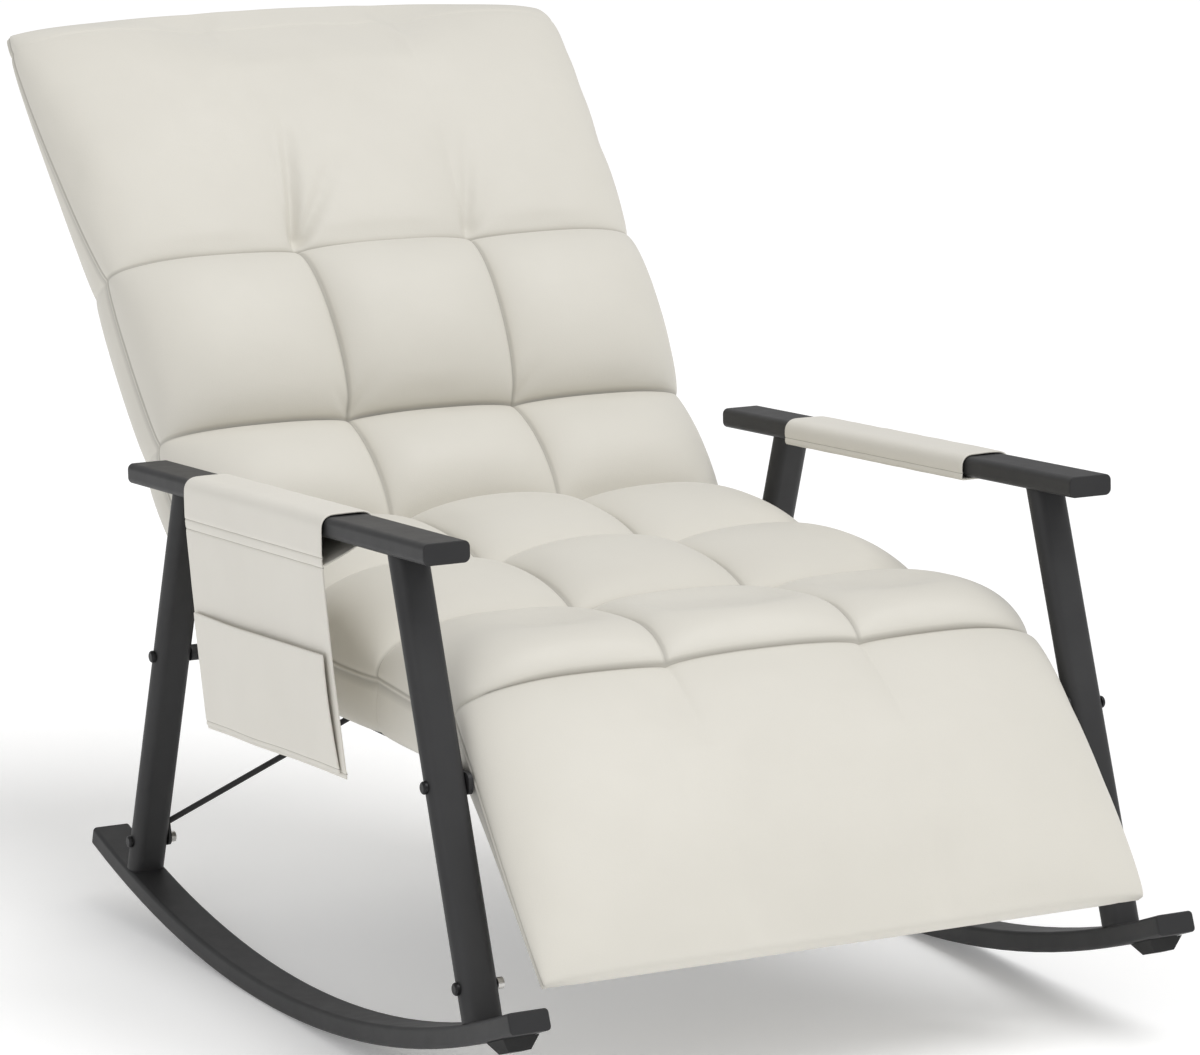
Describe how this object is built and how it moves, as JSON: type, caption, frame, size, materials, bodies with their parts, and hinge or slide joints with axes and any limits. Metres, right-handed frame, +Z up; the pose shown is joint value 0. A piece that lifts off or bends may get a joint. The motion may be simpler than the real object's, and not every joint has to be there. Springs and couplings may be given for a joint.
{
  "type": "nursing chair",
  "caption": "Reclining nursing rocking chair with quilted ivory cushion, tilting back and footrest, flat black steel arms, curved rockers and a side pocket",
  "frame": {"origin": "On the floor under the middle of the overall bounding box", "axes": "+X to the sitter's left-hand side as seen from the front right of the picture, +Y to the rear, +Z up; the sitter faces -Y"},
  "size_m": [0.7318, 1.2321, 0.8559],
  "materials": {
    "black_steel": "satin",
    "black_hardware": "satin",
    "black_plastic": "matte",
    "stop_rubber": "matte",
    "ivory_cover": "satin",
    "ivory_cushion": "satin",
    "webbing": "matte"
  },
  "bodies": {
    "rocker_frame": {"armrest_end_caps": "black_plastic", "back_hinge_fixed_plates": "black_steel", "back_hinge_pins": "black_hardware", "back_hinge_washers": "black_hardware", "brace_bolt": "black_hardware", "brace_nut": "black_hardware", "brace_tab": "black_steel", "foot_hinge_fixed_plates": "black_steel", "foot_hinge_pins": "black_hardware", "foot_hinge_washers": "black_hardware", "left_arm_sleeve": "ivory_cover", "left_armrest": "black_steel", "left_brace_rod": "black_steel", "left_front_leg": "black_steel", "left_rear_leg": "black_steel", "left_rocker": "black_steel", "left_seat_rail": "black_steel", "leg_spigots": "black_steel", "right_arm_sleeve": "ivory_cover", "right_armrest": "black_steel", "right_brace_rod": "black_steel", "right_front_leg": "black_steel", "right_rear_leg": "black_steel", "right_rocker": "black_steel", "right_seat_rail": "black_steel", "rocker_end_caps": "black_plastic", "rocker_stop_pads": "stop_rubber", "seat_crossbars": "black_steel", "seat_cushion": "ivory_cushion", "seat_mount_bolts": "black_hardware", "seat_mount_nuts": "black_hardware", "seat_mount_plates": "black_steel", "seat_spacers": "black_steel", "seat_webbing": "webbing", "side_pocket": "ivory_cover", "side_pocket_flap": "ivory_cover", "spigot_bolts": "black_hardware", "spigot_nuts": "black_hardware"},
    "backrest": {"back_hinge_moving_plates": "black_steel", "back_side_tubes": "black_steel", "back_crossbars": "black_steel", "back_webbing": "webbing", "back_cushion": "ivory_cushion", "back_rear_cover": "ivory_cover"},
    "footrest": {"foot_hinge_moving_plates": "black_steel", "footrest_side_tubes": "black_steel", "footrest_crossbars": "black_steel", "footrest_webbing": "webbing", "footrest_cushion": "ivory_cushion", "footrest_rear_cover": "ivory_cover"}
  },
  "joints": [
    {"name": "backrest_recline", "type": "hinge", "parent": "rocker_frame", "child": "backrest", "pos_m": [0, 0.18, 0.29], "axis": [1, 0, 0], "range_deg": [-25, 15]},
    {"name": "footrest_tilt", "type": "hinge", "parent": "rocker_frame", "child": "footrest", "pos_m": [0, -0.372, 0.29], "axis": [1, 0, 0], "range_deg": [-45, 20]}
  ]
}
